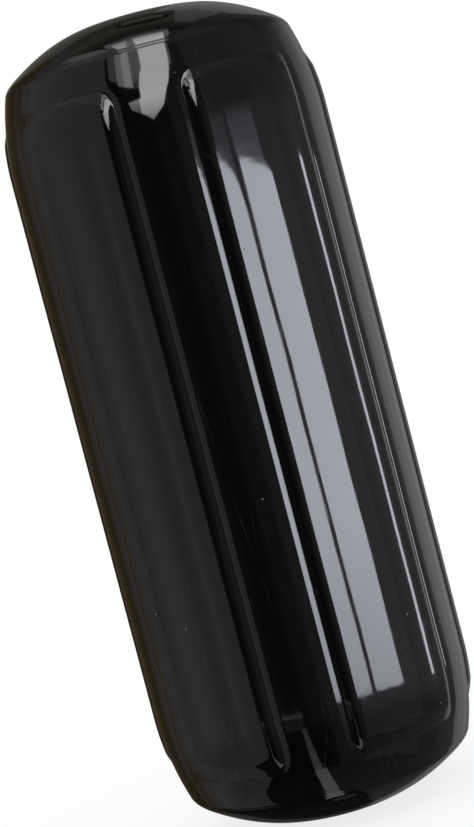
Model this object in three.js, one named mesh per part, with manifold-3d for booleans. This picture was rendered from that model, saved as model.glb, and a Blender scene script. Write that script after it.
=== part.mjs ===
// Boat fender with a rope hole through its centre: one inflated vinyl moulding
// with five wide raised panels along its side, and a needle valve in its top end.
// Millimetres, +Z up. The fender stands on its lower end, centred on the Z axis.

import * as THREE from 'three';
import { ParametricGeometry } from 'three/addons/geometries/ParametricGeometry.js';
import { mergeVertices } from 'three/addons/utils/BufferGeometryUtils.js';
import Module from 'manifold-3d';

// Overall form
const length = 508;
const gapRadius = 99.1;
const cornerRadius = 89.8;
const domeHeight = 24.8;
const domeBulge = 1.8;
const shoulderLength = 54;
const shoulderBulge = 1.95;

// Raised panels and the creases that frame them
const panelCount = 5;
const panelWidth = 82;
const panelRise = 2;
const panelEndMargin = 45.5;
const panelCornerRadius = 12;
const panelRound = 7.8;
const panelEndRound = 12;
const panelRoundBulge = 1.55;
const creaseDepth = 0.75;
const creaseRound = 6.5;
const firstPanelTurn = 33;

// End rest ring, dish and rope hole
const restRingOuterRadius = 31;
const restRingInnerRadius = 25;
const dishFloorRadius = 22.5;
const dishDepth = 6;
const ropeHoleRadius = 11;
const ropeHoleMouthRound = 2;

// Inflation valve
const valveOffset = 17.8;
const valveHeadRadius = 4.4;
const valveHeadHeight = 1.6;
const valveHeadEdgeHeight = 0.9;
const valveHeadTopRadius = 2.8;
const valveStemRadius = 3;
const valveStemLength = 11;
const valveTipRadius = 2.1;
const valveTipLength = 2;
const needleDimpleRadius = 0.9;
const needleDimpleDepth = 1.2;
const valveClearance = 0.3;

// Mesh fineness
const panelMiddleSteps = 4;
const panelRoundSteps = [1, 0.4, 0.13, 0];
const creaseSteps = [0.45, 1];
const gapMiddleSteps = 3;
const shoulderSteps = 6;
const panelEndSteps = [1, 0.6, 0.3, 0.12, 0];
const domeSteps = 6;
const roundSteps = 2;
const leastRow = 1;
const valveSegments = 24;

const halfLength = length / 2;
const cornerHeight = halfLength - domeHeight;
const shoulderHeight = cornerHeight - shoulderLength;
const panelHalfLength = halfLength - panelEndMargin;
const panelPitch = (2 * Math.PI) / panelCount;
const panelHalfAngle = panelWidth / 2 / gapRadius;
const panelRoundAngle = panelRound / gapRadius;
const creaseRoundAngle = creaseRound / gapRadius;
const dishFloorHeight = halfLength - dishDepth;

// Rise of the surface at an angle from the middle of the nearest panel and at a
// height from the middle of the fender. It falls gently from the gap into the
// crease and rounds up from there to the panel. The crease fades out towards the
// panel's ends.
function riseAt(angle, height) {
  const across = angle * gapRadius - (panelWidth / 2 - panelCornerRadius);
  const along = Math.abs(height) - (panelHalfLength - panelCornerRadius);
  const corner = Math.hypot(Math.max(across, 0), Math.max(along, 0));
  const inside = panelCornerRadius - corner - Math.min(Math.max(across, along), 0);
  const endness = corner > 0 ? (Math.max(along, 0) / corner) ** 2 : Number(along > across);
  const crease = creaseDepth * (1 - endness);
  if (inside < 0) {
    return -crease * Math.max(1 + inside / creaseRound, 0) ** 2;
  }
  const round = panelRound + (panelEndRound - panelRound) * endness;
  return (panelRise + crease) * (1 - Math.max(1 - inside / round, 0) ** panelRoundBulge) - crease;
}

// Angles of the mesh columns round one panel and its gap, closer at the creases
function columnAngles() {
  const flatHalfAngle = panelHalfAngle - panelRoundAngle;
  const half = [];
  for (let step = 0; step < panelMiddleSteps / 2; step += 1) {
    half.push((flatHalfAngle * step) / (panelMiddleSteps / 2));
  }
  for (const share of panelRoundSteps) {
    half.push(panelHalfAngle - panelRoundAngle * share);
  }
  for (const share of creaseSteps) {
    half.push(panelHalfAngle + creaseRoundAngle * share);
  }
  const gapStart = panelHalfAngle + creaseRoundAngle;
  const gapAngle = panelPitch - 2 * gapStart;
  const middle = [];
  for (let step = 1; step < gapMiddleSteps; step += 1) {
    middle.push(gapStart + (gapAngle * step) / gapMiddleSteps);
  }
  const mirrored = half.slice(1).map((angle) => panelPitch - angle).reverse();
  return [...half, ...middle, ...mirrored];
}

// Heights of the mesh rows up the side: along the shoulder, and closer where the
// panels end
function sideHeights() {
  const heights = panelEndSteps.map((share) => panelHalfLength - panelCornerRadius * share);
  for (let step = 0; step < shoulderSteps; step += 1) {
    heights.push(shoulderHeight + (shoulderLength * step) / shoulderSteps);
  }
  heights.sort((a, b) => a - b);
  const apart = heights.filter((height, at) => at === 0 || height - heights[at - 1] > leastRow);
  return [...apart.filter((height) => height < cornerHeight - leastRow), cornerHeight];
}

// Points of the upper half of the section, from mid height up the side, over the
// dome and the rest ring, down into the dish and to the rope hole
function upperSection() {
  const section = [{ radius: gapRadius, height: 0, hasPanels: true }];
  for (const height of sideHeights()) {
    const share = Math.max(height - shoulderHeight, 0) / shoulderLength;
    const radius = gapRadius - (gapRadius - cornerRadius) * share ** shoulderBulge;
    section.push({ radius, height, hasPanels: true });
  }
  for (let step = domeSteps - 1; step >= 0; step -= 1) {
    const share = step / domeSteps;
    const radius = restRingOuterRadius + (cornerRadius - restRingOuterRadius) * share;
    section.push({ radius, height: halfLength - domeHeight * share ** domeBulge });
  }
  for (let step = 0; step <= roundSteps; step += 1) {
    const turn = (Math.PI / 2) * (step / roundSteps);
    const radius = dishFloorRadius + (restRingInnerRadius - dishFloorRadius) * Math.cos(turn);
    section.push({ radius, height: dishFloorHeight + dishDepth * (1 - Math.sin(turn)) });
  }
  for (let step = 0; step <= roundSteps; step += 1) {
    const turn = (Math.PI / 2) * (step / roundSteps);
    const radius = ropeHoleRadius + ropeHoleMouthRound * (1 - Math.sin(turn));
    section.push({ radius, height: dishFloorHeight - ropeHoleMouthRound * (1 - Math.cos(turn)) });
  }
  return section;
}

// The whole skin as one closed surface: round the axis and along the section
function bodySkin() {
  const upper = upperSection();
  const lower = upper.slice(1).map((point) => ({ ...point, height: -point.height })).reverse();
  const section = [...upper, ...lower];
  const angles = columnAngles();
  const columnCount = angles.length * panelCount;
  const firstTurn = THREE.MathUtils.degToRad(firstPanelTurn) - Math.PI / 2;
  const place = (u, v, target) => {
    const column = Math.round(u * columnCount) % columnCount;
    const point = section[Math.round(v * section.length) % section.length];
    const angle = angles[column % angles.length];
    const fromPanel = angle < panelPitch / 2 ? angle : panelPitch - angle;
    const rise = point.hasPanels ? riseAt(fromPanel, point.height) : 0;
    const turn = firstTurn + Math.floor(column / angles.length) * panelPitch + angle;
    const radius = point.radius + rise;
    target.set(radius * Math.cos(turn), radius * Math.sin(turn), halfLength + point.height);
  };
  return new ParametricGeometry(place, columnCount, section.length);
}

// A shape turned round its own Z axis from radius and height pairs
function turned(points, segments) {
  const profile = points.map(([radius, height]) => new THREE.Vector2(radius, height));
  return new THREE.LatheGeometry(profile, segments).rotateX(Math.PI / 2);
}

// Needle valve: a stem with a narrower tip, and a low head with a needle dimple.
// Its origin is where the head meets the dish floor.
function valveGeometry() {
  return turned([
    [0, -valveStemLength],
    [valveTipRadius, -valveStemLength],
    [valveStemRadius, valveTipLength - valveStemLength],
    [valveStemRadius, 0],
    [valveHeadRadius, 0],
    [valveHeadRadius, valveHeadEdgeHeight],
    [valveHeadTopRadius, valveHeadHeight],
    [needleDimpleRadius, valveHeadHeight],
    [0, valveHeadHeight - needleDimpleDepth],
  ], valveSegments);
}

// Pocket that the stem is pressed into, open towards the dish
function valvePocketGeometry() {
  const radius = valveStemRadius + valveClearance;
  return turned([
    [0, -valveStemLength - valveClearance],
    [radius, -valveStemLength - valveClearance],
    [radius, dishDepth],
    [0, dishDepth],
  ], valveSegments);
}

const wasm = await Module();
wasm.setup();

// Closed solid from a geometry, with shared corners merged and the empty
// triangles on the axis left out
function toSolid(geometry) {
  const bare = geometry.clone();
  bare.deleteAttribute('normal');
  bare.deleteAttribute('uv');
  const merged = mergeVertices(bare, 1e-3);
  const corners = merged.index.array;
  const kept = [];
  for (let at = 0; at < corners.length; at += 3) {
    const [a, b, c] = corners.slice(at, at + 3);
    if (a !== b && b !== c && c !== a) {
      kept.push(a, b, c);
    }
  }
  return new wasm.Manifold(new wasm.Mesh({
    numProp: 3,
    vertProperties: new Float32Array(merged.attributes.position.array),
    triVerts: new Uint32Array(kept),
  }));
}

function toGeometry(solid) {
  const mesh = solid.getMesh();
  const geometry = new THREE.BufferGeometry();
  geometry.setAttribute('position', new THREE.BufferAttribute(mesh.vertProperties, 3));
  geometry.setIndex(new THREE.BufferAttribute(mesh.triVerts, 1));
  geometry.computeVertexNormals();
  return geometry;
}

const valveSeat = new THREE.Vector3(valveOffset, 0, halfLength + dishFloorHeight);

function fenderBody() {
  const pocket = valvePocketGeometry().translate(valveSeat.x, valveSeat.y, valveSeat.z);
  const body = toSolid(bodySkin()).subtract(toSolid(pocket));
  const vinyl = new THREE.MeshStandardMaterial({ color: 0x0b0b0d, roughness: 0.12, metalness: 0 });
  const mesh = new THREE.Mesh(toGeometry(body), vinyl);
  mesh.name = 'fender_body';
  return mesh;
}

function inflationValve() {
  const rubber = new THREE.MeshStandardMaterial({ color: 0x161616, roughness: 0.6, metalness: 0 });
  const mesh = new THREE.Mesh(toGeometry(toSolid(valveGeometry())), rubber);
  mesh.name = 'inflation_valve';
  mesh.position.copy(valveSeat).add(new THREE.Vector3(0, 0, valveClearance));
  return mesh;
}

const fender = new THREE.Group();
fender.add(fenderBody(), inflationValve());

export default fender;
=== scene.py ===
import math

import bpy
import numpy as np
from mathutils import Matrix, Vector


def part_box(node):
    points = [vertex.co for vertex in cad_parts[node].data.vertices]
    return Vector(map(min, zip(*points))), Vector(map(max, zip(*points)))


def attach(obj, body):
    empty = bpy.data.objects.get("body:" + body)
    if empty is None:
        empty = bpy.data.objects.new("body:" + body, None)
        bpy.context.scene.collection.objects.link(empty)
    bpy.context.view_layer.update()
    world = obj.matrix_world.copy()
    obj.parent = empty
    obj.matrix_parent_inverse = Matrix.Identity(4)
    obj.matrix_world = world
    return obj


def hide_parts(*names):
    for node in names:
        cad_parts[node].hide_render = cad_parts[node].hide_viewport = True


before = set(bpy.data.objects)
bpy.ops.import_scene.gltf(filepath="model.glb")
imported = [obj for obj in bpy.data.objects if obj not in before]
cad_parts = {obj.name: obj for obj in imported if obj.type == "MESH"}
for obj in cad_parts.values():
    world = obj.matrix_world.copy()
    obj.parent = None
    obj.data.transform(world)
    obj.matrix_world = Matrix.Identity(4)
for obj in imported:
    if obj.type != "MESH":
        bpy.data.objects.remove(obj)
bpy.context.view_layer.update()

MM = 0.001


# Camera
# The photograph shows the fender from a little above its middle, through a long lens, and
# leaning to the left. The fender stands upright here, so the camera is rolled instead.
PHOTO_WIDTH = 474
PHOTO_HEIGHT = 827
CAMERA_DISTANCE = 1.42
CAMERA_RISE = math.radians(3.7)
CAMERA_ROLL = math.radians(14.65)
CAMERA_REACH = 20
FOCAL_PIXELS = 2263
SENSOR = 36
MIDDLE_IN_PHOTO = (239.1, 413.8)

low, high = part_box("fender_body")
fender_length = high.z - low.z
fender_middle = Vector((0, 0, (low.z + high.z) / 2))

level = Vector((1, 0, 0))
towards = Vector((0, -math.cos(CAMERA_RISE), math.sin(CAMERA_RISE)))
upright = towards.cross(level)
right = level * math.cos(CAMERA_ROLL) - upright * math.sin(CAMERA_ROLL)
up = level * math.sin(CAMERA_ROLL) + upright * math.cos(CAMERA_ROLL)

lens = bpy.data.cameras.new("camera")
lens.sensor_width = SENSOR
lens.lens = SENSOR * FOCAL_PIXELS / PHOTO_HEIGHT
lens.shift_x = (PHOTO_WIDTH / 2 - MIDDLE_IN_PHOTO[0]) / PHOTO_HEIGHT
lens.shift_y = (MIDDLE_IN_PHOTO[1] - PHOTO_HEIGHT / 2) / PHOTO_HEIGHT
lens.clip_end = CAMERA_REACH
camera = bpy.data.objects.new("camera", lens)
bpy.context.collection.objects.link(camera)
camera.matrix_world = Matrix.LocRotScale(
    fender_middle + towards * CAMERA_DISTANCE,
    Matrix((right, up, towards)).transposed().to_quaternion(),
    None,
)
bpy.context.scene.camera = camera


# Fender body
# One inflated moulding of plasticised PVC, moulded in a polished tool. Five wide panels stand
# proud of the side, each framed by a crease, and the rope tube runs through the middle.
GAP_RADIUS = 99.1 * MM
CORNER_RADIUS = 89.8 * MM
CORNER_ON_DOME = 5.5 * MM
CORNER_ON_SIDE = 3 * MM
RING_LINE_BELOW_CORNER = 1.2 * MM
RING_LINE_DEPTH = 0.2 * MM
RING_LINE_WIDTH = 0.5 * MM
DOME_HEIGHT = 24.8 * MM
DOME_BULGE = 1.8
SHOULDER_LENGTH = 54 * MM
SHOULDER_BULGE = 1.95
PANEL_COUNT = 5
PANEL_WIDTH = 82 * MM
PANEL_RISE = 2 * MM
PANEL_END_MARGIN = 45.5 * MM
PANEL_CORNER_RADIUS = 12 * MM
PANEL_ROUND = 7.8 * MM
PANEL_END_ROUND = 12 * MM
PANEL_ROUND_BULGE = 1.55
END_LINE_DEPTH = 0.12 * MM
END_LINE_WIDTH = 0.6 * MM
CREASE_DEPTH = 0.75 * MM
CREASE_ROUND = 6.5 * MM
FIRST_PANEL_TURN = math.radians(33)
REST_RING_OUTER = 31 * MM
REST_RING_INNER = 25 * MM
DISH_FLOOR_RADIUS = 22.5 * MM
DISH_DEPTH = 6 * MM
ROPE_HOLE_RADIUS = 11 * MM
ROPE_HOLE_MOUTH = 2 * MM
SKIN_WAVE = 0.035 * MM
SKIN_WAVE_FADE = 20 * MM

# Fineness of the mesh, closest where the skin turns most
FLAT_COLUMNS = 9
CLIMB_COLUMNS = 15
CLIMB_CROWDING = 1.6
FALL_COLUMNS = 9
FALL_CROWDING = 1.4
GAP_COLUMNS = 5
STRAIGHT_ROWS = 20
SHOULDER_ROWS = 32
SHOULDER_ROWS_EARLY = 10 * MM
PANEL_END_ROWS = 13
CORNER_ROWS = 31
DOME_ROWS = 24
DISH_ROWS = 8
MOUTH_ROWS = 6
TUBE_ROWS = 7

half_length = fender_length / 2
corner_height = half_length - DOME_HEIGHT
shoulder_height = corner_height - SHOULDER_LENGTH
panel_half_length = half_length - PANEL_END_MARGIN
panel_pitch = 2 * math.pi / PANEL_COUNT
panel_half_angle = PANEL_WIDTH / 2 / GAP_RADIUS


def rise_at(angle, height):
    """Rise of the panels and fall of the creases, by angle from a panel's middle and height."""
    across = angle * GAP_RADIUS - (PANEL_WIDTH / 2 - PANEL_CORNER_RADIUS)
    along = np.abs(height) - (panel_half_length - PANEL_CORNER_RADIUS)
    corner = np.hypot(np.maximum(across, 0), np.maximum(along, 0))
    inside = PANEL_CORNER_RADIUS - corner - np.minimum(np.maximum(across, along), 0)
    not_zero = 1e-9
    turned = (np.maximum(along, 0) / np.maximum(corner, not_zero)) ** 2
    endness = np.where(corner > 0, turned, along > across)
    crease = CREASE_DEPTH * (1 - endness)
    outside = -crease * np.maximum(1 + inside / CREASE_ROUND, 0) ** 2
    rounding = PANEL_ROUND + (PANEL_END_ROUND - PANEL_ROUND) * endness
    climb = 1 - np.clip(1 - inside / rounding, 0, 1) ** PANEL_ROUND_BULGE
    fade = np.clip(-across / PANEL_CORNER_RADIUS, 0, 1)
    end_line = END_LINE_DEPTH * np.exp(-(inside / END_LINE_WIDTH) ** 2) * fade
    return np.where(inside < 0, outside, (PANEL_RISE + crease) * climb - crease) - end_line


def column_angles():
    """Angles of the mesh columns over one panel and its gap, closest at the creases."""
    rounding = PANEL_ROUND / GAP_RADIUS
    crease = CREASE_ROUND / GAP_RADIUS
    flat = np.linspace(0, panel_half_angle - rounding, FLAT_COLUMNS)
    climb = panel_half_angle - rounding * np.linspace(1, 0, CLIMB_COLUMNS)[1:] ** CLIMB_CROWDING
    fall = panel_half_angle + crease * np.linspace(0, 1, FALL_COLUMNS)[1:] ** FALL_CROWDING
    gap = np.linspace(panel_half_angle + crease, panel_pitch / 2, GAP_COLUMNS)[1:]
    half = np.concatenate([flat, climb, fall, gap])
    return np.concatenate([half, panel_pitch - half[1:-1][::-1]])


def arc(start, end, centre, steps):
    """Quarter arc of radius and height pairs round a centre, without its start."""
    turns = np.linspace(0, math.pi / 2, steps + 1)[1:]
    start = np.array(start) - centre
    end = np.array(end) - centre
    return [tuple(centre + start * math.cos(turn) + end * math.sin(turn)) for turn in turns]


def dome_point(share):
    """Point of the end dome, from 0 at the rest ring to 1 at the corner ring."""
    radius = REST_RING_OUTER + (CORNER_RADIUS - REST_RING_OUTER) * share
    return radius, half_length - DOME_HEIGHT * share ** DOME_BULGE


def side_point(height):
    """Point of the side wall between the panels."""
    share = max(height - shoulder_height, 0) / SHOULDER_LENGTH
    return GAP_RADIUS - (GAP_RADIUS - CORNER_RADIUS) * share ** SHOULDER_BULGE, height


def side_heights():
    """Heights of the rows up the side: along it, up the shoulder and close at the panels' end."""
    split = shoulder_height - SHOULDER_ROWS_EARLY
    straight = np.linspace(0, split, STRAIGHT_ROWS)
    shoulder = np.linspace(split, corner_height - CORNER_ON_SIDE, SHOULDER_ROWS)
    panel_end = panel_half_length + END_LINE_WIDTH * np.linspace(-2, 2, PANEL_END_ROWS)
    return np.unique(np.concatenate([straight, shoulder, panel_end]))


def upper_section():
    """Radius and height pairs from mid height out over the end and down the rope tube."""
    section = [side_point(height) for height in side_heights()]
    start = 1 - CORNER_ON_DOME / (CORNER_RADIUS - REST_RING_OUTER)
    below, corner, above = map(np.array, (section[-1], dome_point(1), dome_point(start)))
    for step in np.linspace(0, 1, CORNER_ROWS)[1:]:
        point = below * (1 - step) ** 2 + corner * 2 * step * (1 - step) + above * step ** 2
        from_line = (point[1] - corner_height + RING_LINE_BELOW_CORNER) / RING_LINE_WIDTH
        section.append((point[0] - RING_LINE_DEPTH * math.exp(-from_line ** 2), point[1]))
    section += [dome_point(share) for share in np.linspace(start, 0, DOME_ROWS)[1:]]

    section.append(((REST_RING_OUTER + REST_RING_INNER) / 2, half_length))
    section.append((REST_RING_INNER, half_length))
    dish_floor = half_length - DISH_DEPTH
    centre = np.array((DISH_FLOOR_RADIUS, half_length))
    section += arc(section[-1], (DISH_FLOOR_RADIUS, dish_floor), centre, DISH_ROWS)

    mouth_radius = ROPE_HOLE_RADIUS + ROPE_HOLE_MOUTH
    mouth_low = dish_floor - ROPE_HOLE_MOUTH
    section.append((mouth_radius, dish_floor))
    centre = np.array((mouth_radius, mouth_low))
    section += arc(section[-1], (ROPE_HOLE_RADIUS, mouth_low), centre, MOUTH_ROWS)
    tube_heights = np.linspace(dish_floor, 0, TUBE_ROWS)[1:-1]
    section += [(ROPE_HOLE_RADIUS, height) for height in tube_heights]
    return np.array(section)


def skin_wave(turn, height):
    """Slow unevenness of an inflated skin, which bends the reflections a little."""
    return SKIN_WAVE * (
        np.sin(3 * turn + 19 * height + 0.4) * np.sin(31 * height + 2 * turn + 1.1)
        + 0.6 * np.sin(7 * turn - 43 * height + 2.0)
        + 0.4 * np.sin(11 * turn + 67 * height)
    )


def grid_mesh(name, points):
    """Smooth mesh of a grid of points that closes on itself both ways."""
    rows, columns = points.shape[:2]
    corner = np.arange(rows * columns).reshape(rows, columns)
    after = np.roll(corner, -1, axis=1)
    above = [np.roll(side, -1, axis=0) for side in (after, corner)]
    faces = np.stack([corner, after, *above], axis=-1)
    mesh = bpy.data.meshes.new(name)
    mesh.from_pydata(points.reshape(-1, 3).tolist(), [], faces.reshape(-1, 4).tolist())
    mesh.polygons.foreach_set("use_smooth", [True] * len(mesh.polygons))
    mesh.update()
    return mesh


upper = upper_section()
section = np.concatenate([upper, (upper[1:] * (1, -1))[::-1]])
angles = column_angles()
from_panel = np.tile(np.minimum(angles, panel_pitch - angles), PANEL_COUNT)
turns = (np.arange(PANEL_COUNT)[:, None] * panel_pitch + angles[None, :]).ravel()
radius = section[:, 0][:, None]
height = section[:, 1][:, None]
on_side = (np.abs(height) < corner_height) & (radius > REST_RING_OUTER)
wavy = np.clip((radius - REST_RING_OUTER) / SKIN_WAVE_FADE, 0, 1)
rise = np.where(on_side, rise_at(from_panel[None, :], height), 0)
grown = radius + rise + wavy * skin_wave(turns[None, :], height)
turn = turns[None, :] + FIRST_PANEL_TURN
body_points = np.stack(
    [
        fender_middle.x + grown * np.sin(turn),
        fender_middle.y - grown * np.cos(turn),
        fender_middle.z + np.broadcast_to(height, grown.shape),
    ],
    axis=-1,
)
body = bpy.data.objects.new("vinyl_body", grid_mesh("vinyl_body", body_points))
bpy.context.collection.objects.link(body)


def linear(code):
    """Linear colour of an sRGB hex value."""
    parts = [int(code[at:at + 2], 16) / 255 for at in (1, 3, 5)]
    shares = [p / 12.92 if p <= 0.04045 else ((p + 0.055) / 1.055) ** 2.4 for p in parts]
    return (*shares, 1.0)


def add(tree, kind, inputs=None, **settings):
    """Adds a node, sets its properties, and fills or links its sockets."""
    node = tree.nodes.new(kind)
    for name, value in settings.items():
        setattr(node, name, value)
    for key, value in (inputs or {}).items():
        if isinstance(value, bpy.types.NodeSocket):
            tree.links.new(value, node.inputs[key])
        else:
            node.inputs[key].default_value = value
    return node


def material_tree(name):
    """New material, its node tree and its output node."""
    material = bpy.data.materials.new(name)
    material.use_nodes = True
    tree = material.node_tree
    tree.nodes.clear()
    return material, tree, add(tree, "ShaderNodeOutputMaterial")


# Plasticised PVC, called vinyl, as it comes out of a polished mould: deep black and glossy, with
# small specks of dust, fine scratches from handling, and level scuffs low down on the right.
# Dust and scratches are drawn coarser than real ones, so that they show.
VINYL_BLACK = "#050506"
VINYL_DUST = "#6b6a66"
VINYL_IOR = 1.53
VINYL_ROUGHNESS = (0.035, 0.065)
HAZE_SIZE = 16.67 * MM
RIPPLE_LENGTH = 14 * MM
RIPPLE_DEPTH = 0.2 * MM
RIPPLE_STRENGTH = 0.12
SPECK_SPACING = 13.33 * MM
SPECK_CORE = 0.4 * MM
SPECK_RADIUS = 0.733 * MM
SPECK_RISE = 2.0
DUST_PATCH = 26.3 * MM
SCRATCH_SPACING = 9 * MM
SCRATCH_WIDTH = 0.108 * MM
SCRATCH_STRETCH = 20
SCRATCH_SLANT = (0.5, 0.3, 0.9)
SCRATCH_PATCH = 45.5 * MM
SCRATCH_PALENESS = 0.12
SCUFF_LENGTH = 12.5 * MM
SCUFF_THICKNESS = 0.526 * MM
SCUFF_SLANT = (0, 0.2, 0)
SCUFF_PALENESS = 0.07
SCUFF_ACROSS = ((34 * MM, 42 * MM), (64 * MM, 58 * MM))
SCUFF_UP = ((45 * MM, 48 * MM), (68 * MM, 62 * MM))


def dust_specks(tree, place):
    """Small round specks of dust, which lie in patches."""
    cells = add(tree, "ShaderNodeTexVoronoi", {
        "Vector": place, "Scale": 1 / SPECK_SPACING, "Randomness": 1.0})
    dots = add(tree, "ShaderNodeMapRange", {
        "Value": cells.outputs["Distance"], "From Min": SPECK_CORE / SPECK_SPACING,
        "From Max": SPECK_RADIUS / SPECK_SPACING, "To Min": 1.0, "To Max": 0.0})
    patch = add(tree, "ShaderNodeTexNoise", {
        "Vector": place, "Scale": 1 / DUST_PATCH, "Detail": 2.0})
    patches = add(tree, "ShaderNodeMapRange", {
        "Value": patch.outputs["Fac"], "From Min": 0.56, "From Max": 0.62})
    return add(tree, "ShaderNodeMath", {
        0: dots.outputs["Result"], 1: patches.outputs["Result"]}, operation="MULTIPLY").outputs[0]


def scratches(tree, place):
    """Long fine scratches, which lie in patches."""
    slanted = add(tree, "ShaderNodeMapping", {
        "Vector": place, "Rotation": SCRATCH_SLANT, "Scale": (1.0, 1.0, 1 / SCRATCH_STRETCH)})
    lines = add(tree, "ShaderNodeTexVoronoi", {
        "Vector": slanted.outputs["Vector"], "Scale": 1 / SCRATCH_SPACING},
        feature="DISTANCE_TO_EDGE")
    scratch = add(tree, "ShaderNodeMapRange", {
        "Value": lines.outputs["Distance"], "From Min": 0.0,
        "From Max": SCRATCH_WIDTH / SCRATCH_SPACING, "To Min": SCRATCH_PALENESS, "To Max": 0.0})
    patch = add(tree, "ShaderNodeTexNoise", {
        "Vector": place, "Scale": 1 / SCRATCH_PATCH, "Detail": 3.0})
    patches = add(tree, "ShaderNodeMapRange", {
        "Value": patch.outputs["Fac"], "From Min": 0.5, "From Max": 0.65})
    return add(tree, "ShaderNodeMath", {
        0: scratch.outputs["Result"], 1: patches.outputs["Result"]},
        operation="MULTIPLY").outputs[0]


def scuffs(tree, place):
    """Level streaks that fade out towards the edges of the scuffed place."""
    streaky = add(tree, "ShaderNodeMapping", {
        "Vector": place, "Rotation": SCUFF_SLANT,
        "Scale": (1 / SCUFF_LENGTH, 1 / SCUFF_LENGTH, 1 / SCUFF_THICKNESS)})
    streaks = add(tree, "ShaderNodeTexNoise", {
        "Vector": streaky.outputs["Vector"], "Scale": 1.0, "Detail": 2.0})
    rubbed = add(tree, "ShaderNodeMapRange", {
        "Value": streaks.outputs["Fac"], "From Min": 0.5, "From Max": 0.66,
        "To Min": 0.0, "To Max": SCUFF_PALENESS}).outputs["Result"]
    spot = add(tree, "ShaderNodeSeparateXYZ", {"Vector": place})
    for axis, edges in (("X", SCUFF_ACROSS), ("Z", SCUFF_UP)):
        for bare, full in edges:
            inside = add(tree, "ShaderNodeMapRange", {
                "Value": spot.outputs[axis], "From Min": bare, "From Max": full})
            rubbed = add(tree, "ShaderNodeMath", {
                0: rubbed, 1: inside.outputs["Result"]}, operation="MULTIPLY").outputs[0]
    return rubbed


def vinyl():
    """Glossy black vinyl with dust specks, scratches, scuffs and a faint ripple."""
    material, tree, output = material_tree("moulded_vinyl")
    place = add(tree, "ShaderNodeTexCoord").outputs["Object"]
    speck = dust_specks(tree, place)
    marked = add(tree, "ShaderNodeMath", {
        0: scratches(tree, place), 1: scuffs(tree, place)}, operation="MAXIMUM")
    dusty = add(tree, "ShaderNodeMath", {0: speck, 1: marked.outputs[0]}, operation="MAXIMUM")
    colour = add(tree, "ShaderNodeMix", {
        "Factor": dusty.outputs[0], "A": linear(VINYL_BLACK), "B": linear(VINYL_DUST)},
        data_type="RGBA")
    haze = add(tree, "ShaderNodeTexNoise", {
        "Vector": place, "Scale": 1 / HAZE_SIZE, "Detail": 4.0})
    hazy = add(tree, "ShaderNodeMapRange", {
        "Value": haze.outputs["Fac"], "From Min": 0.3, "From Max": 0.7,
        "To Min": VINYL_ROUGHNESS[0], "To Max": VINYL_ROUGHNESS[1]})
    rough = add(tree, "ShaderNodeMath", {
        0: hazy.outputs["Result"], 1: dusty.outputs[0]}, operation="ADD")
    ripple = add(tree, "ShaderNodeTexNoise", {
        "Vector": place, "Scale": 1 / RIPPLE_LENGTH, "Detail": 2.0})
    relief = add(tree, "ShaderNodeMath", {
        0: speck, 1: SPECK_RISE, 2: ripple.outputs["Fac"]}, operation="MULTIPLY_ADD")
    bump = add(tree, "ShaderNodeBump", {
        "Height": relief.outputs[0], "Strength": RIPPLE_STRENGTH, "Distance": RIPPLE_DEPTH})
    skin = add(tree, "ShaderNodeBsdfPrincipled", {
        "Base Color": colour.outputs["Result"], "Roughness": rough.outputs[0],
        "IOR": VINYL_IOR, "Normal": bump.outputs["Normal"]})
    tree.links.new(skin.outputs["BSDF"], output.inputs["Surface"])
    return material


body.data.materials.append(vinyl())
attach(body, "root")
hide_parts("fender_body")


# Inflation valve
# A plug of soft rubber, pressed into the upper dish beside the rope mouth. A ball needle goes in
# through the dimple, and the slit under it closes by itself. Its rubber is matte from the mould,
# with a bloom of talc that is drawn coarser than the real one, so that it shows.
VALVE_BLACK = "#1b1b1b"
RUBBER_IOR = 1.52
RUBBER_ROUGHNESS = (0.45, 0.7)
BLOOM_GRAIN = 1.11 * MM
BLOOM_DEPTH = 0.05 * MM
BLOOM_STRENGTH = 0.2

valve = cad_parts["inflation_valve"]


def valve_rubber():
    """Matte moulded rubber with a fine talc bloom."""
    material, tree, output = material_tree("valve_rubber")
    place = add(tree, "ShaderNodeTexCoord").outputs["Object"]
    bloom = add(tree, "ShaderNodeTexNoise", {
        "Vector": place, "Scale": 1 / BLOOM_GRAIN, "Detail": 3.0})
    rough = add(tree, "ShaderNodeMapRange", {
        "Value": bloom.outputs["Fac"],
        "To Min": RUBBER_ROUGHNESS[0], "To Max": RUBBER_ROUGHNESS[1]})
    bump = add(tree, "ShaderNodeBump", {
        "Height": bloom.outputs["Fac"], "Strength": BLOOM_STRENGTH, "Distance": BLOOM_DEPTH})
    rubber = add(tree, "ShaderNodeBsdfPrincipled", {
        "Base Color": linear(VALVE_BLACK), "Roughness": rough.outputs["Result"],
        "IOR": RUBBER_IOR, "Normal": bump.outputs["Normal"]})
    tree.links.new(rubber.outputs["BSDF"], output.inputs["Surface"])
    return material


valve.data.materials.clear()
valve.data.materials.append(valve_rubber())


# Floor
# A plain white studio floor. The camera sees it as the white behind the fender, with a faint
# soft shadow where the fender stands.
FLOOR_SIZE = 8
FLOOR_WHITE = "#ffffff"
FLOOR_GLOW = 0.8


def plane(name, corners):
    """Flat stage piece from its corners."""
    mesh = bpy.data.meshes.new(name)
    mesh.from_pydata(corners, [], [list(range(len(corners)))])
    piece = bpy.data.objects.new(name, mesh)
    bpy.context.collection.objects.link(piece)
    return piece


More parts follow.
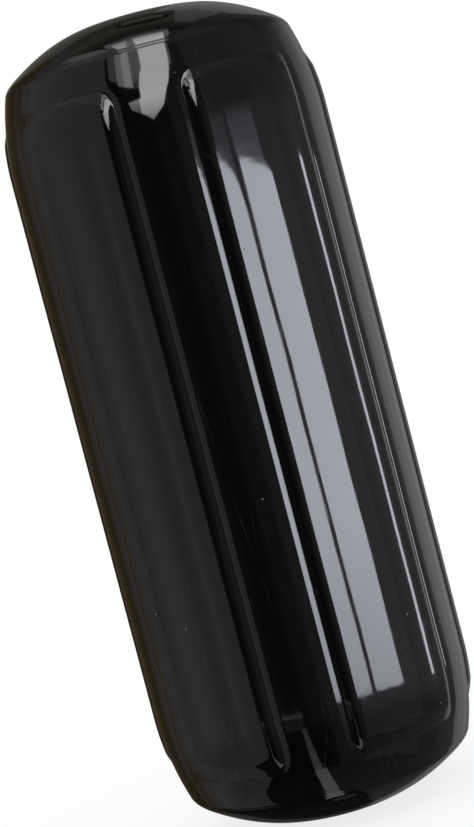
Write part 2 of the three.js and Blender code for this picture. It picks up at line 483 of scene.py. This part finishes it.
def white_floor():
    """White matte floor, part of which the camera sees as light, so that its shadows are faint."""
    material, tree, output = material_tree("white_floor")
    seen = add(tree, "ShaderNodeEmission", {"Color": (1, 1, 1, 1), "Strength": 1.0})
    paint = add(tree, "ShaderNodeBsdfDiffuse", {"Color": linear(FLOOR_WHITE)})
    ray = add(tree, "ShaderNodeLightPath")
    share = add(tree, "ShaderNodeMath", {
        0: ray.outputs["Is Camera Ray"], 1: FLOOR_GLOW}, operation="MULTIPLY")
    both = add(tree, "ShaderNodeMixShader", {
        0: share.outputs[0], 1: paint.outputs["BSDF"], 2: seen.outputs["Emission"]})
    tree.links.new(both.outputs["Shader"], output.inputs["Surface"])
    return material


floor_corners = ((-1, -1), (1, -1), (1, 1), (-1, 1))
floor = plane("floor", [(x * FLOOR_SIZE, y * FLOOR_SIZE, low.z) for x, y in floor_corners])
floor.data.materials.append(white_floor())
floor.visible_glossy = False


# Studio surround
# Glossy black vinyl shows only what stands round it. The surround is a ring of plain cards, seen
# in reflections alone: a tall window on the right, a grey wall on the left, dark in front.
# Strengths of the cards are matched to the brightness of each reflection.
PLAIN_WHITE = "#ffffff"
RING_RADIUS = 1.2
RING_LOW = -0.9
RING_HIGH = 1.5
RING_STEP = math.radians(1.5)
LAYER = 0.01


def glow(name, levels, colour, axis="Z"):
    """Light of a card: strengths at places along an axis, graded from each to the next."""
    material, tree, output = material_tree(name)
    strength = levels[0][1]
    light = add(tree, "ShaderNodeEmission", {"Color": linear(colour), "Strength": strength})
    if len(levels) > 1:
        place = add(tree, "ShaderNodeTexCoord").outputs["Object"]
        along = add(tree, "ShaderNodeSeparateXYZ", {"Vector": place}).outputs[axis]
        for (lower, before), (upper, after) in zip(levels, levels[1:]):
            step = add(tree, "ShaderNodeMapRange", {
                "Value": along, "From Min": lower, "From Max": upper,
                "To Min": 0.0, "To Max": after - before})
            strength = add(tree, "ShaderNodeMath", {
                0: step.outputs["Result"], 1: strength}).outputs[0]
        tree.links.new(strength, light.inputs["Strength"])
    tree.links.new(light.outputs["Emission"], output.inputs["Surface"])
    return material


def reflections_only(piece):
    """Hides a card from everything but reflections."""
    piece.visible_camera = False
    piece.visible_diffuse = False
    piece.visible_transmission = False
    piece.visible_shadow = False


def on_ring(angle, height, distance):
    """Point by its angle from the front, in degrees, its height and its distance."""
    turn = math.radians(angle)
    return distance * math.sin(turn), -distance * math.cos(turn), height


def ring_card(name, start, end, bottom, top, levels, colour, distance=RING_RADIUS):
    """Upright card, curved round the fender between two angles."""
    steps = max(2, round(math.radians(end - start) / RING_STEP))
    turns = np.linspace(start, end, steps + 1)
    points = [on_ring(angle, height, distance) for height in (bottom, top) for angle in turns]
    count = steps + 1
    faces = [(at, at + 1, count + at + 1, count + at) for at in range(steps)]
    mesh = bpy.data.meshes.new(name)
    mesh.from_pydata(points, [], faces)
    mesh.materials.append(glow(name, levels, colour))
    piece = bpy.data.objects.new(name, mesh)
    bpy.context.collection.objects.link(piece)
    reflections_only(piece)


# Walls: name, first and last angle, colour, and strength low down, at mid height, high up and
# at the top
WALLS = (
    ("front_left", -35, -22, "#ffffff", 0.01, 0.045, 0.02, 0.02),
    ("front", -22, -6, "#ffffff", 0.01, 0.02, 0.02, 0.02),
    ("front_middle", -6, 7, "#ffffff", 0.01, 0.07, 0.02, 0.02),
    ("front_right", 7, 28, "#ffffff", 0.1, 0.16, 0.1, 0.1),
    ("right", 28, 67, "#f4f2ff", 0.24, 0.45, 0.22, 0.22),
    ("right_grey", 67, 78, "#ffffff", 0.22, 0.42, 0.22, 0.22),
    ("right_dim", 78, 86, "#ffffff", 0.16, 0.34, 0.22, 0.22),
    ("right_end", 86, 98, "#ffffff", 0.16, 0.38, 0.22, 0.2),
    ("back_right", 98, 122, "#ffffff", 0.19, 0.27, 0.25, 0.14),
    ("back_bright", 122, 136, "#ffffff", 0.5, 0.6, 0.4, 0.1),
    ("back_grey", 136, 149, "#ffffff", 0.4, 0.48, 0.4, 0.09),
    ("back_dim", 149, 158, "#ffffff", 0.2, 0.33, 0.3, 0.09),
    ("back_pale", 158, 176, "#ffffff", 0.2, 0.16, 0.16, 0.28),
    ("back", 176, 200, "#fff8ee", 0.06, 0.08, 0.2, 0.13),
    ("back_left", 200, 226, "#ffe0a2", 0.06, 0.07, 0.09, 0.07),
    ("left_warm", 226, 240, "#ffe5c7", 0.13, 0.14, 0.13, 0.13),
    ("left_far", 240, 251, "#fff2e6", 0.22, 0.24, 0.25, 0.25),
    ("left_back", 251, 260, "#ffffff", 0.3, 0.3, 0.34, 0.34),
    ("left_line", 260, 265, "#ffffff", 0.3, 0.25, 0.34, 0.34),
    ("left_grey", 265, 272, "#ffffff", 0.3, 0.34, 0.36, 0.36),
    ("left", 272, 287, "#fbf8ff", 0.28, 0.46, 0.38, 0.38),
    ("left_soft", 287, 294, "#fbf8ff", 0.28, 0.42, 0.37, 0.37),
    ("left_dim", 294, 305, "#fbf8ff", 0.3, 0.34, 0.36, 0.36),
    ("left_bright", 305, 311, "#fbf8ff", 0.33, 0.5, 0.38, 0.38),
    ("left_edge", 311, 325, "#fbf8ff", 0.34, 0.36, 0.36, 0.36),
)
WALL_HEIGHTS = (-0.42, -0.2, 0.35, 0.7, 1.1)
WALL_DISTANCE = RING_RADIUS + 10 * LAYER
SHARP_EDGES = (28, 226)
SOFT_EDGE = 5
SOFT_EDGE_SLICES = 6


def wall_card(name, start, end, strengths, colour, distance):
    """Wall card from strengths low down, at mid height, high up and at the top."""
    low_down, middle, high_up, top = strengths
    levels = list(zip(WALL_HEIGHTS, (low_down, middle, middle, high_up, top)))
    ring_card("wall_" + name, start, end, RING_LOW, RING_HIGH, levels, colour, distance)


for name, start, end, colour, *strengths in WALLS:
    wall_card(name, start, end, strengths, colour, WALL_DISTANCE)

# Away from the window a wall passes softly into the next, by narrow slices over the edge.
for wall, following in zip(WALLS, WALLS[1:]):
    name, edge, _, colour, *after = following
    before = wall[4:]
    if SHARP_EDGES[0] <= edge <= SHARP_EDGES[1]:
        continue
    ends = np.linspace(edge - SOFT_EDGE / 2, edge + SOFT_EDGE / 2, SOFT_EDGE_SLICES + 1)
    for at, (start, end) in enumerate(zip(ends, ends[1:])):
        share = (at + 0.5) / SOFT_EDGE_SLICES
        strengths = [old + (new - old) * share for old, new in zip(before, after)]
        wall_card(f"{name}_slice_{at}", start, end, strengths, colour, WALL_DISTANCE - LAYER)


def shaped_card(name, corners, *levels, colour=PLAIN_WHITE, distance=RING_RADIUS):
    """Flat card from corners that are angles from the front, in degrees, and heights."""
    piece = plane(name, [on_ring(angle, height, distance) for angle, height in corners])
    piece.data.materials.append(glow(name, levels, colour))
    reflections_only(piece)


# The tall window has two panes with slanting tops and a pale glow over them.
DAYLIGHT = "#f1f5ff"
PANE_LEVELS = ((-0.13, 6.2), (0.05, 8.4))
shaped_card(
    "window_left_pane",
    [(25.7, -0.137), (40.2, -0.139), (39.8, 0.39), (38.6, 0.423), (37, 0.437), (34.2, 0.448),
     (30, 0.454), (25.7, 0.457)],
    *PANE_LEVELS, colour=DAYLIGHT)
shaped_card(
    "window_right_pane",
    [(43, -0.14), (65, -0.146), (65, 0.428), (62.4, 0.438), (53, 0.447), (48, 0.452),
     (43, 0.454)],
    *PANE_LEVELS, colour=DAYLIGHT)
ring_card("window_strip", 92, 94.4, -0.165, 0.44, [(0, 8)], DAYLIGHT)
ring_card("window_glow_left", 28, 39, 0.42, 0.62,
          [(0.43, 0.8), (0.6, 0.24)], DAYLIGHT, RING_RADIUS + 5 * LAYER)
ring_card("window_glow_right", 42, 61, 0.4, 0.66,
          [(0.42, 1.5), (0.52, 0.6), (0.64, 0.24)], DAYLIGHT, RING_RADIUS + 5 * LAYER)

# A high window in front of the fender, in two panes with a bar between, narrows downwards.
shaped_card(
    "high_window_right",
    [(18.4, 1.5), (18.2, 1.42), (17.2, 1.267), (16.3, 1.183), (13.2, 1.04), (9.6, 0.94),
     (6.6, 0.85), (4, 0.77), (-0.6, 0.71), (-5.5, 0.65), (-8.6, 0.69), (-12.4, 0.73),
     (-12.4, 0.872), (-10.8, 0.875), (-10.4, 0.98), (-8.6, 1.12), (-5.7, 1.21), (-5.5, 1.5)],
    (0.64, 2.5), (0.74, 5.2), (0.86, 7.2), (1.1, 6.8))
shaped_card(
    "high_window_corner",
    [(-12.4, 0.73), (-18.2, 0.775), (-20.5, 0.855), (-12.4, 0.872)],
    (0.76, 1.6), (0.85, 3))
shaped_card(
    "high_window_soft_edge",
    [(20.4, 1.5), (19.6, 1.3), (17.8, 1.15), (16.3, 1.183), (17.2, 1.267), (18.2, 1.42),
     (18.4, 1.5)],
    (0, 1.2))
shaped_card(
    "high_window_bar",
    [(-14.4, 1.5), (-5.5, 1.5), (-5.7, 1.21), (-8.6, 1.12), (-10.4, 0.98), (-14.8, 1.0)],
    (1.0, 0.35), (1.15, 1.2))
shaped_card(
    "high_window_left",
    [(-14.4, 1.5), (-14.4, 1.2), (-14.8, 1.0), (-21, 1.02), (-21, 1.5)],
    (0, 3.2))
shaped_card(
    "high_window_left_soft",
    [(-21, 1.5), (-21, 1.02), (-25.5, 1.06), (-25.5, 1.5)],
    (0, 1.9))
shaped_card(
    "high_window_left_edge",
    [(-25.5, 1.5), (-25.5, 1.08), (-32, 1.13), (-33, 1.5)],
    (0, 0.6))

# Dark ground in front cuts off the left wall, and a pale block and a stand rise from it.
shaped_card(
    "dark_front",
    [(-27, -0.22), (-33, -0.4), (-36.5, -0.5), (-40.5, -0.64), (-44, -0.7), (-48, -0.76),
     (-51.5, -0.82), (-56, -0.875), (-60, -0.98), (-27, -0.98)],
    (0, 0.01), distance=RING_RADIUS + 7 * LAYER)
shaped_card(
    "pale_block_edge",
    [(-28.5, -0.158), (-10.5, -0.174), (-10.5, -0.15), (-28.5, -0.142)],
    (0, 0.5))
shaped_card(
    "pale_block",
    [(-28.5, -0.3), (-11.3, -0.29), (-10.5, -0.174), (-28.5, -0.158)],
    (0, 0.11))
shaped_card(
    "pale_stand",
    [(-13.4, -0.277), (-13.4, -0.61), (-12.9, -0.81), (-6.9, -0.81), (-8.8, -0.552),
     (-10.7, -0.297)],
    (-0.8, 0.6), (-0.3, 0.42))
shaped_card(
    "pale_stand_foot",
    [(-12.9, -0.81), (-13.2, -0.9), (-2.8, -0.9), (-4.2, -0.81)],
    (0, 1.05))

CEILING_HEIGHT = 1.5
LAMP_LIGHT = "#fff4dc"


def level_card(name, corners, height, *levels, colour=PLAIN_WHITE):
    """Level card over or under the fender, graded from front to back."""
    piece = plane(name, [(x, y, height) for x, y in corners])
    piece.data.materials.append(glow(name, levels, colour, "Y"))
    reflections_only(piece)


# The ceiling is pale on the left and dim on the right, with a warm patch at the back.
level_card(
    "ceiling_left",
    [(-3, -3), (-0.25, -3), (-0.25, 3), (-3, 3)], CEILING_HEIGHT + 5 * LAYER,
    (0, 0.45), (0.27, 0.32), (0.5, 0.2), (0.8, 0.12), (1.2, 0.08))
level_card(
    "ceiling_middle",
    [(-0.25, -3), (0.3, -3), (0.3, 0.3), (-0.25, 0.3)], CEILING_HEIGHT + 5 * LAYER,
    (0, 0.14))
level_card(
    "ceiling_right",
    [(0.3, -3), (3, -3), (3, 3), (0.3, 3)], CEILING_HEIGHT + 5 * LAYER,
    (-0.3, 0.28), (0.1, 0.17), (0.6, 0.08))
level_card(
    "ceiling_back",
    [(-0.4, 0.3), (0.3, 0.3), (0.3, 3), (-0.4, 3)], CEILING_HEIGHT + 4 * LAYER,
    (0.45, 0.05), (0.65, 0.07), (0.75, 0.13), (1, 0.08), (1.3, 0.06), colour=LAMP_LIGHT)
level_card(
    "ceiling_patch",
    [(0.2, 0.65), (0.3, 0.65), (0.45, 1.1), (0.45, 2), (0.2, 2)], CEILING_HEIGHT + 3 * LAYER,
    (0, 0.22))
level_card(
    "ceiling_band",
    [(-0.25, 0.05), (-0.25, 0.36), (-0.36, 0.58), (-0.45, 0.72), (-0.55, 0.6), (-0.5, 0.05)],
    CEILING_HEIGHT + 3 * LAYER,
    (0.3, 0.6), (0.65, 0.3))

# A round lamp hangs there: a dark rim with a dim shade inside it.
LAMP_MIDDLE = (0.03, 0.95)
LAMP_HALF_SIZE = (0.14, 0.2)
LAMP_CORNERS = 24
LAMP_SHADE_SHARE = 0.8


def lamp_outline(share):
    """Corners of the lamp's oval at a share of its size."""
    return [
        (LAMP_MIDDLE[0] + share * LAMP_HALF_SIZE[0] * math.cos(turn),
         LAMP_MIDDLE[1] + share * LAMP_HALF_SIZE[1] * math.sin(turn))
        for turn in np.linspace(0, 2 * math.pi, LAMP_CORNERS + 1)[:-1]
    ]


level_card("lamp_rim", lamp_outline(1), CEILING_HEIGHT + 2 * LAYER, (0, 0.015))
level_card("lamp_shade", lamp_outline(LAMP_SHADE_SHARE), CEILING_HEIGHT,
           (0.85, 0.03), (0.95, 0.18), (1.1, 0.1), colour=LAMP_LIGHT)

# The high window goes on over the fender as a skylight, in the same two panes.
level_card(
    "ceiling_window_right",
    [(-0.045, 0.5), (0.115, 0.5), (0.165, 0), (0.22, -0.36), (0.39, -1.25), (-0.11, -1.25),
     (-0.07, -0.36), (-0.05, 0)], CEILING_HEIGHT,
    (-1.22, 5.2), (-1.1, 2.6), (-0.5, 1.5), (-0.22, 3.6), (-0.08, 6), (0.1, 4.9), (0.3, 2.8),
    (0.37, 2), (0.42, 0.8), (0.45, 0.3), (0.49, 0.15))
level_card(
    "ceiling_window_edge",
    [(0.115, 0.5), (0.15, 0.5), (0.2, 0), (0.25, -0.36), (0.43, -1.25), (0.39, -1.25),
     (0.22, -0.36), (0.165, 0)], CEILING_HEIGHT,
    (0.3, 0.9), (0.41, 0.8), (0.44, 0.45), (0.47, 0.2))
level_card(
    "ceiling_window_bar",
    [(-0.08, 0.5), (-0.045, 0.5), (-0.05, 0), (-0.07, -0.36), (-0.11, -1.25), (-0.3, -1.25),
     (-0.15, -0.36), (-0.12, 0)], CEILING_HEIGHT,
    (-1.2, 2.2), (-0.4, 1), (0, 1.4), (0.38, 0.7), (0.44, 0.3), (0.49, 0.15))
level_card(
    "ceiling_window_left",
    [(-0.17, 0.5), (-0.08, 0.5), (-0.11, 0), (-0.15, -0.36), (-0.3, -1.25), (-0.43, -1.25),
     (-0.25, -0.36), (-0.19, 0)], CEILING_HEIGHT,
    (-1.2, 3.3), (-0.76, 1.3), (-0.45, 0.8), (-0.2, 1.8), (0, 3.7), (0.33, 1.8), (0.4, 1),
    (0.44, 0.4), (0.49, 0.13))
level_card(
    "ceiling_window_left_soft",
    [(-0.21, 0.5), (-0.17, 0.5), (-0.19, 0), (-0.25, -0.36), (-0.43, -1.25), (-0.6, -1.25),
     (-0.31, -0.36), (-0.24, 0)], CEILING_HEIGHT,
    (0.17, 0.5), (0.43, 0.85), (0.47, 0.5), (0.5, 0.15))

# The ground is grey, with a dark place under the fender and a pale stand across it.
level_card(
    "ground_left",
    [(-3, -3), (-0.3, -3), (-0.3, 3), (-3, 3)], RING_LOW - 2 * LAYER,
    (-0.4, 0.32), (0.3, 0.26), (0.8, 0.08))
level_card(
    "ground_right",
    [(-0.3, -3), (3, -3), (3, 3), (-0.3, 3)], RING_LOW - 2 * LAYER,
    (-1.3, 0.08), (-0.3, 0.15), (0.8, 0.2))
level_card(
    "ground_dark",
    [(-1.03, -0.57), (-0.69, -0.45), (-0.66, -0.34), (-0.6, -0.3), (-0.15, -0.3),
     (-0.27, -1.25), (-1.05, -1.25), (-1.1, -0.68)], RING_LOW,
    (0, 0.025))
level_card(
    "ground_below",
    [(-0.6, -0.3), (0.12, -0.3), (0.12, 2), (-1.2, 2)], RING_LOW,
    (0, 0.015))
level_card(
    "ground_below_right",
    [(0.12, -0.1), (0.7, -0.1), (1.2, 2), (0.12, 2)], RING_LOW,
    (0, 0.07))
level_card(
    "ground_stand",
    [(-0.29, -1.25), (-0.08, -1.25), (0.03, -0.95), (0.04, -0.6), (0.04, 0.1), (-0.08, 0.1),
     (-0.12, -0.6), (-0.18, -0.95)], RING_LOW + LAYER,
    (0, 1.05))
level_card(
    "ground_line",
    [(-0.03, 0.28), (0.08, 0.28), (0.08, 0.5), (-0.03, 0.5)], RING_LOW + LAYER,
    (0, 0.12))


# Light
# Even light from all round, at the level where a colour renders about as it is written.
world = bpy.data.worlds.new("studio")
bpy.context.scene.world = world
world.use_nodes = True
world.node_tree.nodes.clear()
sky = add(world.node_tree, "ShaderNodeBackground", {"Color": (1, 1, 1, 1), "Strength": 1.0})
sky_output = add(world.node_tree, "ShaderNodeOutputWorld")
world.node_tree.links.new(sky.outputs["Background"], sky_output.inputs["Surface"])
bpy.context.scene.view_settings.view_transform = "Standard"
